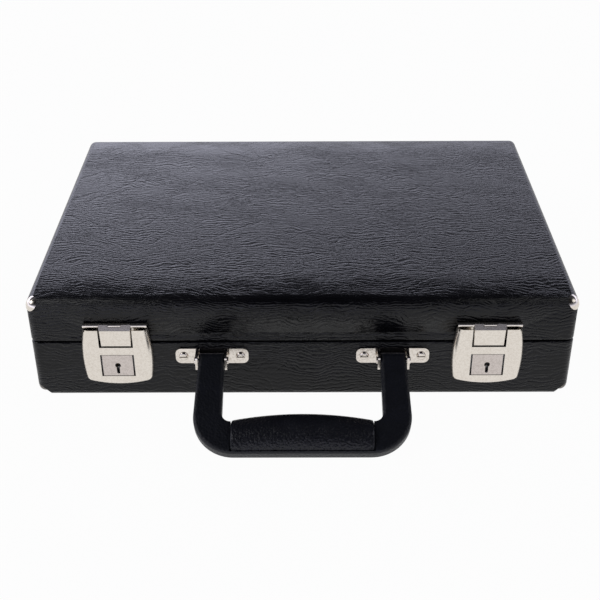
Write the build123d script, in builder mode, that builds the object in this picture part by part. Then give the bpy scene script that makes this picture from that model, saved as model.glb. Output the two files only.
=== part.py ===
from build123d import *
import math
import os

os.makedirs("parts", exist_ok=True)

# Recorder case, closed and lying flat on its underside. Millimetres.
# +Z is up, the handle and the two locks are on the front, which faces -Y, and +X is to
# the right. The origin is the centre of the underside.

# Outer case
case_width = 354.0
case_depth = 256.0
base_height = 43.0
lid_height = 31.0
seam_gap = 0.7
side_round = 5.5
base_edge_round = 4.0
lid_edge_round = 4.5
rim_roll = 1.4
lid_corner_cut = 10.5
base_corner_cut = 11.0

# Walls
skin = 0.8
board = 6.0
panel = 4.0
turn_in = 0.5
turn_in_depth = 12.0
turn_under = 18.0
sheet_proud = 0.1
sheet_gap = 0.3

# Collar and lining
collar_gap = 0.6
collar_wall = 2.5
collar_lip = 5.0
bed_height = 33.0
bed_gap = 0.3
bed_edge_round = 1.5
lid_pad_thickness = 7.0
lid_pad_gap = 0.4
lid_pad_margin = 3.0
lid_pad_round = 3.0

# Beds from front to back: name, depth of the block, width of its wells, depth of the wells
# and their lengths. The last block takes the depth that is left.
bed_rows = [
    ("alto_head_bed", 56.0, 46.0, 29.0, (196.0, 112.0)),
    ("alto_body_bed", 50.0, 40.0, 27.0, (262.0, 46.0)),
    ("soprano_body_bed", 48.0, 38.0, 25.0, (205.0, 103.0)),
    ("soprano_head_bed", 48.0, 38.0, 25.0, (150.0, 158.0)),
    ("cleaning_rod_bed", None, 21.0, 18.0, (308.0,)),
]

# Corner studs
lid_stud_radius = 5.0
lid_stud_height = 2.3
base_stud_radius = 3.4
base_stud_height = 1.4
base_stud_shift = 1.6
stud_nail_radius = 0.6
stud_nail_length = 5.0

# Screws
fit_gap = 0.05
bracket_screw_radius = 1.3
bracket_screw_length = 5.0
bracket_head_radius = 3.1
bracket_head_height = 1.5
bracket_slot_width = 0.8
bracket_slot_depth = 0.7
small_screw_radius = 0.9
small_screw_length = 4.6
small_head_radius = 1.8
small_head_height = 0.7

# Locks
lock_spread = 241.0
lock_bottom = 11.6
lock_top = 54.9
lock_top_width = 41.6
lock_middle_width = 46.4
lock_bottom_width = 43.0
lock_bottom_bulge = 3.4
lock_corner_round = 4.5
lock_proud = 5.0
lock_sheet = 0.8
lock_face_round = 4.0
lock_lid_gap = 0.5
hasp_notch_width = 22.0
hasp_notch_bottom = 41.8
button_window_width = 22.0
button_window_bottom = 19.5
button_window_top = 36.2
lock_screw_reach = 15.0
lock_screw_low = 20.5
lock_screw_high = 38.0

# Back plate of a lock, with the box that sinks into the front board
plate_sheet = 1.0
plate_inset = 1.3
plate_top = 40.8
box_half_width = 9.0
box_bottom = 19.4
box_top = 39.8
box_depth = 4.4
box_wall = 0.6
pocket_gap = 0.3

# Hasp and the plate that carries it on the lid
hasp_axis_height = 57.0
hasp_axis_proud = 1.9
hasp_knuckle_radius = 1.6
hasp_pin_radius = 0.8
hasp_plate_width = 38.4
hasp_plate_bottom = 44.8
hasp_row_width = 41.2
hasp_middle_knuckle = 8.0
hasp_top_width = 20.5
hasp_bottom_width = 19.5
hasp_bottom = 42.8
hasp_shoulder = 54.7
hasp_sheet = 0.9
hasp_edge = 0.35
hasp_tab_inner = 1.0
hasp_tab_hole_width = 7.0
hasp_tab_hole_inner = 1.6
hasp_tab_hole_outer = 3.3
hasp_crest = 1.2
knuckle_gap = 0.3
hasp_screw_reach = 14.5
hasp_screw_height = 49.5

# Release button, catch and key tumbler
button_width = 19.7
button_height = 15.9
button_sheet = 0.9
button_gap = 0.3
button_eye_radius = 0.8
button_pin_radius = 0.5
button_axis_inset = 1.8
button_axis_drop = 1.0
button_eye_half_width = 7.9
button_lug_width = 1.2
button_lug_gap = 0.3
button_link_height = 1.3
key_height = 28.0
key_head_radius = 1.85
key_slot_width = 2.0
key_slot_bottom = 22.5
catch_sheet = 0.9
catch_proud = 0.5
catch_half_width = 7.0
catch_bottom = 23.6
catch_step = 39.2
catch_finger_width = 6.0
catch_finger_proud = 2.0
catch_tip_gap = 0.4
catch_window_half_width = 3.2
catch_window_bottom = 24.6
catch_window_top = 32.0
catch_lug_width = 3.0
catch_lug_bottom = 34.5
catch_lug_height = 1.2
catch_lug_depth = 2.6
tumbler_radius = 2.8
tumbler_face_inset = 0.2
tumbler_journal_radius = 1.4
tumbler_lobe_reach = 4.6
tumbler_lobe_width = 2.4
tumbler_lobe_front = 1.2
tumbler_lobe_thickness = 1.2
tumbler_keyway_width = 1.6
tumbler_keyway_depth = 1.5
leaf_spring_thickness = 0.3
leaf_spring_span = 10.0
leaf_spring_gap = 0.1

# Handle
bracket_spread = 118.0
bracket_height = 32.7
bracket_length = 47.6
bracket_width = 11.3
bracket_round = 3.8
bracket_sheet = 1.2
bracket_screw_spread = 37.2
ear_inner_width = 17.5
ear_sheet = 1.5
ear_proud = 10.8
ear_round = 2.5
handle_axis_proud = 6.3
handle_pin_radius = 1.5
handle_pin_head_radius = 2.4
handle_pin_head = 0.8
handle_thickness = 9.5
handle_reach = 67.5
handle_end_outer = 66.9
handle_corner_outer = 69.6
handle_corner_inner = 50.6
handle_inner_reach = 45.3
handle_outer_corner = 26.0
handle_inner_corner = 5.5
handle_edge_round = 2.4
handle_floor_gap = 0.1
handle_heel_gap = 0.3
grip_half_length = 44.6
grip_end_gap = 0.3
grip_rim = 1.1
grip_bar_reach = 51.0
grip_bar_top = 2.6
grip_end_inner = 42.4
grip_middle_inner = 38.2
grip_end_crown = 7.8
grip_middle_crown = 10.2
grip_gap = 0.15
grip_edge_height = 3.6
grip_crest_reach = 53.0
grip_toe = 2.0
core_width = 8.0
core_thickness = 2.0
core_start = 2.6

# Hinges on the back
hinge_spread = 210.0
hinge_width = 38.0
hinge_leaf_height = 16.0
hinge_sheet = 1.2
hinge_knuckle_radius = 2.3
hinge_pin_radius = 1.2
hinge_axis_gap = 0.3
hinge_leaf_gap = 0.5
hinge_middle_knuckle = 13.4
hinge_screw_spread = 26.0

# Levels and faces that follow from the sizes above
seam = base_height
case_top = base_height + lid_height
base_rim = seam - seam_gap / 2
lid_rim = seam + seam_gap / 2
base_board_low = sheet_proud + skin
base_board_high = base_rim - skin
lid_board_low = lid_rim + skin
lid_board_high = case_top - skin
base_floor = base_board_low + panel
lid_ceiling = lid_board_high - panel
board_width = case_width - 2 * skin
board_depth = case_depth - 2 * skin
inner_width = board_width - 2 * board
inner_depth = board_depth - 2 * board
collar_width = inner_width - 2 * (turn_in + collar_gap)
collar_depth = inner_depth - 2 * (turn_in + collar_gap)
room_width = collar_width - 2 * collar_wall
room_depth = collar_depth - 2 * collar_wall
front = -case_depth / 2
back = case_depth / 2
sides = {"left": -1, "right": 1}


def front_plane(x, proud):
    """Plane on the front, its x along +X and its y along +Z, proud of the case by a length."""
    return Plane(origin=(x, front - proud, 0), x_dir=(1, 0, 0), z_dir=(0, -1, 0))


def back_plane(x, proud):
    """Plane on the back, its x along -X and its y along +Z, proud of the case by a length."""
    return Plane(origin=(x, back + proud, 0), x_dir=(-1, 0, 0), z_dir=(0, 1, 0))


def front_side_plane(x):
    """Upright plane across the front at one x, its x outwards from the front and its y up."""
    return Plane(origin=(x, front, 0), x_dir=(0, -1, 0), z_dir=(-1, 0, 0))


def back_side_plane(x):
    """Upright plane across the back at one x, its x outwards from the back and its y up."""
    return Plane(origin=(x, back, 0), x_dir=(0, 1, 0), z_dir=(1, 0, 0))


def corner_plane(side, closed_end, depth=0.0):
    """Plane that cuts a front corner off, at equal lengths along its three edges, or one
    that lies deeper by a length."""
    up = 1 if closed_end > seam else -1
    cut = lid_corner_cut if closed_end > seam else base_corner_cut
    third = (cut + depth * math.sqrt(3)) / 3
    origin = (side * (case_width / 2 - third), front + third, closed_end - up * third)
    return Plane(origin=origin, x_dir=(side, 1, 0), z_dir=(side, -1, up))


def rounded_block(width, depth, low, high, plan_round, end_round, closed_at_low):
    """Block with rounded upright edges and rounded edges round its closed end."""
    with BuildPart() as block:
        with BuildSketch(Plane.XY.offset(low)):
            RectangleRounded(width, depth, plan_round)
        extrude(amount=high - low)
        ends = block.faces().sort_by(Axis.Z)
        closed = ends[0] if closed_at_low else ends[-1]
        fillet(closed.edges(), end_round)
    return block.part


# Where the fasteners go through the walls
lock_screw_points = [
    (sign * lock_screw_reach, z) for z in (lock_screw_low, lock_screw_high) for sign in (-1, 1)
]
hasp_screw_points = [(sign * hasp_screw_reach, hasp_screw_height) for sign in (-1, 1)]
bracket_screw_points = [(sign * bracket_screw_spread / 2, bracket_height) for sign in (-1, 1)]
hinge_leaf_start = hinge_knuckle_radius + hinge_leaf_gap
base_hinge_screw_height = seam - hinge_leaf_start - hinge_leaf_height / 2
lid_hinge_screw_height = seam + hinge_leaf_start + hinge_leaf_height / 2


def drill_fronts(points, spread, radius, depth):
    """Holes into the front at both sides, for a set of screws."""
    for side in sides.values():
        with BuildSketch(front_plane(side * spread / 2, 0)) as holes:
            with Locations(*points):
                Circle(radius)
        extrude(holes.sketch, amount=-depth, mode=Mode.SUBTRACT)


def drill_backs(height, radius, depth):
    """Holes into the back at both hinges, above or below the seam."""
    for side in sides.values():
        with BuildSketch(back_plane(side * hinge_spread / 2, 0)) as holes:
            with Locations((-hinge_screw_spread / 2, height), (hinge_screw_spread / 2, height)):
                Circle(radius)
        extrude(holes.sketch, amount=-depth, mode=Mode.SUBTRACT)


def sink_lock_boxes():
    """Pockets in the front for the boxes of the two locks."""
    for side in sides.values():
        with BuildSketch(front_plane(side * lock_spread / 2, 0)) as pocket:
            with Locations((0, (box_bottom + box_top) / 2)):
                Rectangle(2 * (box_half_width + pocket_gap), box_top - box_bottom + 2 * pocket_gap)
        extrude(pocket.sketch, amount=-(box_depth + pocket_gap), mode=Mode.SUBTRACT)


def cut_corners(closed_end, depth=0.0):
    """Cut both front corners off."""
    for side in sides.values():
        with BuildSketch(corner_plane(side, closed_end, depth)) as waste:
            Rectangle(4 * base_corner_cut, 4 * base_corner_cut)
        extrude(waste.sketch, amount=2 * base_corner_cut, mode=Mode.SUBTRACT)


def stud_plane(side, closed_end):
    """Plane under the stud of a front corner. The base's studs sit nearer to the side."""
    plane = corner_plane(side, closed_end)
    shift = 0 if closed_end > seam else base_stud_shift
    return Plane(origin=plane.origin + plane.x_dir * shift, x_dir=plane.x_dir, z_dir=plane.z_dir)


def drill_corners(closed_end):
    """Holes in both front corners for the nails of the studs."""
    for side in sides.values():
        with BuildSketch(stud_plane(side, closed_end)) as hole:
            Circle(stud_nail_radius + fit_gap)
        extrude(hole.sketch, amount=-(stud_nail_length + fit_gap), mode=Mode.SUBTRACT)


# Wooden boxes, made whole and then sawn into their boards
with BuildPart() as base_box:
    add(rounded_block(board_width, board_depth, base_board_low, base_board_high,
                      side_round - skin, base_edge_round - skin, True))
    with BuildSketch(Plane.XY.offset(base_floor)):
        Rectangle(inner_width, inner_depth)
    extrude(amount=base_height, mode=Mode.SUBTRACT)
    cut_corners(0, skin)
    drill_corners(0)
    sink_lock_boxes()
    drill_fronts(lock_screw_points, lock_spread, small_screw_radius + fit_gap, small_screw_length + fit_gap)
    drill_fronts(bracket_screw_points, bracket_spread, bracket_screw_radius + fit_gap,
                 bracket_screw_length + fit_gap)
    drill_backs(base_hinge_screw_height, small_screw_radius + fit_gap, small_screw_length + fit_gap)

with BuildPart() as lid_box:
    add(rounded_block(board_width, board_depth, lid_board_low, lid_board_high,
                      side_round - skin, lid_edge_round - skin, False))
    with BuildSketch(Plane.XY.offset(lid_ceiling)):
        Rectangle(inner_width, inner_depth)
    extrude(amount=-lid_height, mode=Mode.SUBTRACT)
    cut_corners(case_top, skin)
    drill_corners(case_top)
    drill_fronts(hasp_screw_points, lock_spread, small_screw_radius + fit_gap, small_screw_length + fit_gap)
    drill_backs(lid_hinge_screw_height, small_screw_radius + fit_gap, small_screw_length + fit_gap)

board_spans = {
    "front_board": ((-case_width, front), (case_width, -inner_depth / 2)),
    "back_board": ((-case_width, inner_depth / 2), (case_width, back)),
    "left_board": ((-case_width, -inner_depth / 2), (-inner_width / 2, inner_depth / 2)),
    "right_board": ((inner_width / 2, -inner_depth / 2), (case_width, inner_depth / 2)),
    "panel": ((-case_width, front), (case_width, back)),
}
for shell, box, board_low, board_high, panel_low, panel_high, panel_name in (
    ("base", base_box, base_floor, seam, 0, base_floor, "bottom_panel"),
    ("lid", lid_box, seam, lid_ceiling, lid_ceiling, case_top, "top_panel"),
):
    for piece, (near, away) in board_spans.items():
        low, high = (panel_low, panel_high) if piece == "panel" else (board_low, board_high)
        name = f"{shell}_{panel_name if piece == 'panel' else piece}"
        with BuildPart() as wood:
            add(box.part)
            with BuildSketch(Plane.XY.offset(low)):
                with Locations(((near[0] + away[0]) / 2, (near[1] + away[1]) / 2)):
                    Rectangle(away[0] - near[0], away[1] - near[1])
            extrude(amount=high - low, mode=Mode.INTERSECT)
        wood.part.label = name
        export_step(wood.part, f"parts/{name}.step")

# Leatherette round the base, turned over the rim and under the floor
with BuildPart() as base_core:
    add(rounded_block(board_width, board_depth, base_board_low, base_board_high,
                      side_round - skin, base_edge_round - skin, True))
    cut_corners(0, skin)

with BuildPart() as base_covering:
    add(rounded_block(case_width, case_depth, sheet_proud, base_rim, side_round, base_edge_round, True))
    fillet(base_covering.faces().sort_by(Axis.Z)[-1].edges(), rim_roll)
    cut_corners(0)
    add(base_core.part, mode=Mode.SUBTRACT)
    drill_corners(0)
    with BuildSketch(Plane.XY.offset(base_board_high - turn_in_depth)):
        Rectangle(inner_width, inner_depth)
    extrude(amount=turn_in_depth)
    with BuildSketch(Plane.XY.offset(base_board_high - turn_in_depth)):
        Rectangle(inner_width - 2 * turn_in, inner_depth - 2 * turn_in)
    extrude(amount=turn_in_depth + 2 * skin, mode=Mode.SUBTRACT)
    with BuildSketch(Plane.XY.offset(0)):
        Rectangle(case_width - 2 * (side_round + turn_under), case_depth - 2 * (side_round + turn_under))
    extrude(amount=base_board_low, mode=Mode.SUBTRACT)
    sink_lock_boxes()
    drill_fronts(lock_screw_points, lock_spread, small_screw_radius + fit_gap, board)
    drill_fronts(bracket_screw_points, bracket_spread, bracket_screw_radius + fit_gap, board)
    drill_backs(base_hinge_screw_height, small_screw_radius + fit_gap, board)
base_covering.part.label = "base_covering"
export_step(base_covering.part, "parts/base_covering.step")

with BuildPart() as underside_sheet:
    with BuildSketch():
        Rectangle(case_width - 2 * (side_round + turn_under + sheet_gap),
                  case_depth - 2 * (side_round + turn_under + sheet_gap))
    extrude(amount=base_board_low)
underside_sheet.part.label = "underside_sheet"
export_step(underside_sheet.part, "parts/underside_sheet.step")

# Leatherette over the lid
with BuildPart() as lid_core:
    add(rounded_block(board_width, board_depth, lid_board_low, lid_board_high,
                      side_round - skin, lid_edge_round - skin, False))
    cut_corners(case_top, skin)

with BuildPart() as lid_covering:
    add(rounded_block(case_width, case_depth, lid_rim, case_top, side_round, lid_edge_round, False))
    fillet(lid_covering.faces().sort_by(Axis.Z)[0].edges(), rim_roll)
    cut_corners(case_top)
    add(lid_core.part, mode=Mode.SUBTRACT)
    drill_corners(case_top)
    with BuildSketch(Plane.XY.offset(lid_board_low)):
        Rectangle(inner_width, inner_depth)
    extrude(amount=turn_in_depth)
    with BuildSketch(Plane.XY.offset(lid_rim - skin)):
        Rectangle(inner_width - 2 * turn_in, inner_depth - 2 * turn_in)
    extrude(amount=turn_in_depth + 2 * skin, mode=Mode.SUBTRACT)
    drill_fronts(hasp_screw_points, lock_spread, small_screw_radius + fit_gap, board)
    drill_backs(lid_hinge_screw_height, small_screw_radius + fit_gap, board)
lid_covering.part.label = "lid_covering"
export_step(lid_covering.part, "parts/lid_covering.step")

# Collar that stands up inside the lid
with BuildPart() as collar:
    with BuildSketch(Plane.XY.offset(base_floor)):
        Rectangle(collar_width, collar_depth)
        Rectangle(room_width, room_depth, mode=Mode.SUBTRACT)
    extrude(amount=seam + collar_lip - base_floor)
collar.part.label = "collar"
export_step(collar.part, "parts/collar.step")

# Foam beds with half-round wells
bed_length = room_width - 2 * bed_gap
bed_top = base_floor + bed_height
bed_front = -room_depth / 2 + bed_gap
for name, block_depth, well_width, well_depth, well_lengths in bed_rows:
    bed_depth = block_depth or room_depth / 2 - bed_gap - bed_front
    middle = bed_front + bed_depth / 2
    end_wall = (bed_length - sum(well_lengths)) / (len(well_lengths) + 1)
    well_radius = well_width / 2
    well_start = -bed_length / 2 + end_wall
    with BuildPart() as bed:
        with BuildSketch(Plane.XY.offset(base_floor)):
            with Locations((0, middle)):
                Rectangle(bed_length, bed_depth)
        extrude(amount=bed_height)
        for well_length in well_lengths:
            with BuildSketch(Plane.YZ.offset(well_start)):
                with Locations((middle, bed_top - well_depth + well_radius)):
                    Circle(well_radius)
                    Rectangle(well_width, well_depth, align=(Align.CENTER, Align.MIN))
            extrude(amount=well_length, mode=Mode.SUBTRACT)
            well_start += well_length + end_wall
        fillet(bed.faces().filter_by(Axis.Z).sort_by(Axis.Z)[-1].edges(), bed_edge_round)
    bed.part.label = name
    export_step(bed.part, f"parts/{name}.step")
    bed_front += bed_depth + bed_gap

# Pad under the lid's panel
lid_pad_width = inner_width - 2 * lid_pad_margin
lid_pad_depth = inner_depth - 2 * lid_pad_margin
with BuildPart() as lid_pad:
    with BuildSketch(Plane.XY.offset(lid_ceiling - lid_pad_gap)):
        RectangleRounded(lid_pad_width, lid_pad_depth, 2 * lid_pad_round)
    extrude(amount=-lid_pad_thickness)
    fillet(lid_pad.faces().sort_by(Axis.Z)[0].edges(), lid_pad_round)
lid_pad.part.label = "lid_pad"
export_step(lid_pad.part, "parts/lid_pad.step")

# Domed studs on the front corners
stud_kinds = [("base_corner_studs", 0, base_stud_radius, base_stud_height),
              ("lid_corner_studs", case_top, lid_stud_radius, lid_stud_height)]
for name, closed_end, stud_radius, stud_height in stud_kinds:
    dome_radius = (stud_radius ** 2 + stud_height ** 2) / (2 * stud_height)
    half_angle = math.asin(stud_radius / dome_radius) / 2
    shoulder = (dome_radius * math.sin(half_angle),
                dome_radius - stud_height - dome_radius * math.cos(half_angle))
    with BuildPart() as studs:
        for side in sides.values():
            plane = stud_plane(side, closed_end)
            with BuildSketch(Plane(origin=plane.origin, x_dir=plane.x_dir, z_dir=plane.y_dir)):
                with BuildLine():
                    Line((0, 0), (stud_radius, 0))
                    ThreePointArc((stud_radius, 0), shoulder, (0, -stud_height))
                    Line((0, -stud_height), (0, 0))
                make_face()
            revolve(axis=Axis(plane.origin, plane.z_dir))
            with BuildSketch(plane):
                Circle(stud_nail_radius)
            extrude(amount=-stud_nail_length)
    studs.part.label = name
    export_step(studs.part, f"parts/{name}.step")


def lock_face(inset):
    """Barrel-shaped face of a lock, or a smaller one inside it."""
    corner_height = lock_bottom + lock_bottom_bulge
    corner = (lock_bottom_width / 2, corner_height)
    waist = (lock_middle_width / 2, (corner_height + lock_top) / 2)
    shoulder = (lock_top_width / 2, lock_top)
    with BuildSketch() as face:
        with BuildLine():
            ThreePointArc((-corner[0], corner[1]), (0, lock_bottom), corner)
            ThreePointArc(corner, waist, shoulder)
            Line(shoulder, (-shoulder[0], shoulder[1]))
            ThreePointArc((-shoulder[0], shoulder[1]), (-waist[0], waist[1]), (-corner[0], corner[1]))
        make_face()
        fillet(face.vertices().sort_by(Axis.Y)[:2], lock_corner_round)
        if inset:
            offset(amount=-inset)
    return face.sketch


def pressed_body(x, inset):
    """Raised body of a lock with rounded flanks, or the smaller one that hollows it."""
    with BuildPart() as body:
        with BuildSketch(front_plane(x, 0)):
            add(lock_face(inset))
        extrude(amount=lock_proud - inset)
        crest = body.faces().sort_by(Axis.Y)[0]
        fillet(crest.edges().sort_by(Axis.Z)[:-1], lock_face_round - inset)
    return body.part


# Locks: a body, its back plate, the button, the catch, its spring and the key's tumbler on
# the base, and the plate and hasp on the lid
button_top = button_window_top - button_gap
button_axis_proud = lock_proud - button_axis_inset
button_axis_height = button_window_top - button_axis_drop
button_back = lock_proud - button_sheet
hasp_half_width = hasp_top_width / 2
catch_tip = hasp_bottom - catch_tip_gap
for name, side in sides.items():
    x = side * lock_spread / 2
    with BuildPart() as lock_body:
        add(pressed_body(x, 0))
        add(pressed_body(x, lock_sheet), mode=Mode.SUBTRACT)
        with BuildSketch(front_plane(x, 0)):
            with Locations((0, lock_top)):
                Rectangle(lock_top_width - 2 * lock_sheet, 4 * lock_sheet)
        extrude(amount=lock_proud - lock_sheet, mode=Mode.SUBTRACT)
        with BuildSketch(front_plane(x, lock_proud)):
            with Locations((0, hasp_notch_bottom)):
                Rectangle(hasp_notch_width, lock_top, align=(Align.CENTER, Align.MIN))
            with Locations((0, button_window_bottom)):
                Rectangle(button_window_width, button_window_top - button_window_bottom,
                          align=(Align.CENTER, Align.MIN))
        extrude(amount=-2 * lock_sheet, mode=Mode.SUBTRACT)
        with BuildSketch(front_plane(x, 0)):
            with Locations((0, plate_top)):
                Rectangle(2 * lock_middle_width, lock_top, align=(Align.CENTER, Align.MIN))
        extrude(amount=lock_lid_gap, mode=Mode.SUBTRACT)
        for lug_side in (-1, 1):
            lug_middle = button_eye_half_width + button_lug_gap + button_lug_width / 2
            with BuildSketch(front_side_plane(x + lug_side * lug_middle)):
                with Locations((button_axis_proud, button_axis_height)):
                    Circle(button_eye_radius)
                    Rectangle(button_eye_radius, 4 * button_eye_radius, align=(Align.MAX, Align.MIN))
                with Locations((button_axis_proud - button_eye_radius, button_window_top + button_gap)):
                    Rectangle(lock_proud - lock_sheet - button_axis_proud + button_eye_radius,
                              2 * button_eye_radius, align=(Align.MIN, Align.MIN))
                with Locations((button_axis_proud, button_axis_height)):
                    Circle(button_pin_radius + fit_gap, mode=Mode.SUBTRACT)
            extrude(amount=button_lug_width / 2, both=True)
    lock_body.part.label = f"lock_body_{name}"
    export_step(lock_body.part, f"parts/lock_body_{name}.step")

    with BuildPart() as lock_plate:
        with BuildSketch(front_plane(x, 0)):
            add(lock_face(plate_inset))
            with Locations((0, plate_top)):
                Rectangle(2 * lock_middle_width, lock_top, align=(Align.CENTER, Align.MIN),
                          mode=Mode.SUBTRACT)
            with Locations(*lock_screw_points):
                Circle(small_screw_radius + fit_gap, mode=Mode.SUBTRACT)
        extrude(amount=plate_sheet)
        with BuildSketch(front_plane(x, 0)):
            with Locations((0, (box_bottom + box_top) / 2)):
                Rectangle(2 * box_half_width, box_top - box_bottom)
        extrude(amount=-box_depth)
        with BuildSketch(front_plane(x, plate_sheet)):
            with Locations((0, (box_bottom + box_top) / 2)):
                Rectangle(2 * (box_half_width - box_wall), box_top - box_bottom - 2 * box_wall)
        extrude(amount=-(plate_sheet + box_depth - box_wall), mode=Mode.SUBTRACT)
        with BuildSketch(front_plane(x, 0)):
            with Locations((0, key_height)):
                Circle(tumbler_journal_radius + fit_gap)
        extrude(amount=-2 * box_depth, mode=Mode.SUBTRACT)
    lock_plate.part.label = f"lock_plate_{name}"
    export_step(lock_plate.part, f"parts/lock_plate_{name}.step")

    with BuildPart() as release_button:
        with BuildSketch(front_plane(x, button_back)):
            with Locations((0, button_top)):
                Rectangle(button_width, button_height, align=(Align.CENTER, Align.MAX))
            with Locations((0, key_height)):
                Circle(key_head_radius, mode=Mode.SUBTRACT)
            with Locations((0, (key_height + key_slot_bottom) / 2)):
                SlotOverall(key_height - key_slot_bottom + key_slot_width, key_slot_width, rotation=90,
                            mode=Mode.SUBTRACT)
        extrude(amount=button_sheet)
        with BuildSketch(front_side_plane(x)):
            with Locations((button_axis_proud, button_axis_height)):
                Circle(button_eye_radius)
                Rectangle(button_back - button_axis_proud + fit_gap, button_link_height,
                          align=(Align.MIN, Align.MAX))
        extrude(amount=button_eye_half_width, both=True)
        with BuildSketch(front_side_plane(x)):
            with Locations((button_axis_proud, button_axis_height)):
                Circle(button_pin_radius + fit_gap)
        extrude(amount=button_width, both=True, mode=Mode.SUBTRACT)
    release_button.part.label = f"release_button_{name}"
    export_step(release_button.part, f"parts/release_button_{name}.step")

    with BuildPart() as catch:
        with BuildSketch(front_plane(x, catch_proud)):
            with Locations((0, catch_bottom)):
                Rectangle(2 * catch_half_width, catch_step - catch_bottom, align=(Align.CENTER, Align.MIN))
            with Locations((0, catch_window_bottom)):
                Rectangle(2 * catch_window_half_width, catch_window_top - catch_window_bottom,
                          align=(Align.CENTER, Align.MIN), mode=Mode.SUBTRACT)
        extrude(amount=catch_sheet)
        with BuildSketch(front_side_plane(x)):
            with Locations((catch_proud, catch_step)):
                Rectangle(catch_finger_proud + catch_sheet - catch_proud, catch_sheet,
                          align=(Align.MIN, Align.MAX))
            with Locations((catch_finger_proud, catch_step - catch_sheet)):
                Rectangle(catch_sheet, catch_tip - catch_step + catch_sheet, align=(Align.MIN, Align.MIN))
        extrude(amount=catch_finger_width / 2, both=True)
        with BuildSketch(front_plane(x, catch_proud)):
            with Locations((0, catch_lug_bottom)):
                Rectangle(catch_lug_width, catch_lug_height, align=(Align.CENTER, Align.MIN))
        extrude(amount=-(catch_lug_depth + catch_proud))
    catch.part.label = f"catch_{name}"
    export_step(catch.part, f"parts/catch_{name}.step")

    spring_foot = box_bottom + box_wall + leaf_spring_gap
    spring_crown = catch_bottom - leaf_spring_gap
    with BuildPart() as catch_spring:
        with BuildSketch(front_plane(x, catch_proud)):
            with BuildLine():
                ThreePointArc((-leaf_spring_span / 2, spring_foot),
                              (0, spring_crown),
                              (leaf_spring_span / 2, spring_foot))
                Line((leaf_spring_span / 2, spring_foot),
                     (leaf_spring_span / 2 - leaf_spring_thickness, spring_foot))
                ThreePointArc((leaf_spring_span / 2 - leaf_spring_thickness, spring_foot),
                              (0, spring_crown - leaf_spring_thickness),
                              (-leaf_spring_span / 2 + leaf_spring_thickness, spring_foot))
                Line((-leaf_spring_span / 2 + leaf_spring_thickness, spring_foot),
                     (-leaf_spring_span / 2, spring_foot))
            make_face()
        extrude(amount=catch_sheet)
    catch_spring.part.label = f"catch_spring_{name}"
    export_step(catch_spring.part, f"parts/catch_spring_{name}.step")

    with BuildPart() as key_tumbler:
        with BuildSketch(front_plane(x, -tumbler_face_inset)):
            with Locations((0, key_height)):
                Circle(tumbler_radius)
        extrude(amount=-(box_depth - box_wall - 2 * tumbler_face_inset))
        with BuildSketch(front_plane(x, -box_depth / 2)):
            with Locations((0, key_height)):
                Circle(tumbler_journal_radius)
        extrude(amount=-box_depth / 2)
        with BuildSketch(front_plane(x, -tumbler_lobe_front)):
            with Locations((0, key_height)):
                lobe_middle = -(tumbler_lobe_reach - tumbler_lobe_width / 2) / 2
                SlotCenterPoint((lobe_middle, 0), (0, 0), tumbler_lobe_width)
        extrude(amount=-tumbler_lobe_thickness)
        with BuildSketch(front_plane(x, -tumbler_face_inset)):
            with Locations((0, key_height)):
                Rectangle(tumbler_keyway_width, tumbler_radius, align=(Align.CENTER, Align.MAX))
        extrude(amount=-tumbler_keyway_depth, mode=Mode.SUBTRACT)
    key_tumbler.part.label = f"key_tumbler_{name}"
    export_step(key_tumbler.part, f"parts/key_tumbler_{name}.step")

    with BuildPart() as hasp_plate:
        with BuildSketch(front_plane(x, 0)):
            with Locations((0, hasp_plate_bottom)):
                Rectangle(hasp_plate_width, hasp_axis_height - hasp_plate_bottom,
                          align=(Align.CENTER, Align.MIN))
            with Locations((0, hasp_axis_height)):
                Rectangle(hasp_row_width, hasp_knuckle_radius, align=(Align.CENTER, Align.MAX))
            with Locations(*hasp_screw_points):
                Circle(small_screw_radius + fit_gap, mode=Mode.SUBTRACT)
        extrude(amount=plate_sheet)
        with BuildSketch(front_side_plane(x)):
            with Locations((hasp_axis_proud, hasp_axis_height)):
                Circle(hasp_knuckle_radius)
        extrude(amount=hasp_row_width / 2, both=True)
        with BuildSketch(front_side_plane(x)):
            with Locations((hasp_axis_proud, hasp_axis_height)):
                Circle(hasp_pin_radius + fit_gap)
        extrude(amount=hasp_row_width, both=True, mode=Mode.SUBTRACT)
        for knuckle_side in (-1, 1):
            hasp_knuckle_start = hasp_middle_knuckle / 2
            hasp_knuckle_end = hasp_half_width + knuckle_gap
            middle = knuckle_side * (hasp_knuckle_start + hasp_knuckle_end) / 2
            with BuildSketch(front_side_plane(x + middle)):
                with Locations((hasp_axis_proud, hasp_axis_height)):
                    Rectangle(4 * hasp_knuckle_radius, 2 * (hasp_knuckle_radius + knuckle_gap))
            extrude(amount=(hasp_knuckle_end - hasp_knuckle_start) / 2, both=True, mode=Mode.SUBTRACT)
    hasp_plate.part.label = f"hasp_plate_{name}"
    export_step(hasp_plate.part, f"parts/hasp_plate_{name}.step")

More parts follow.
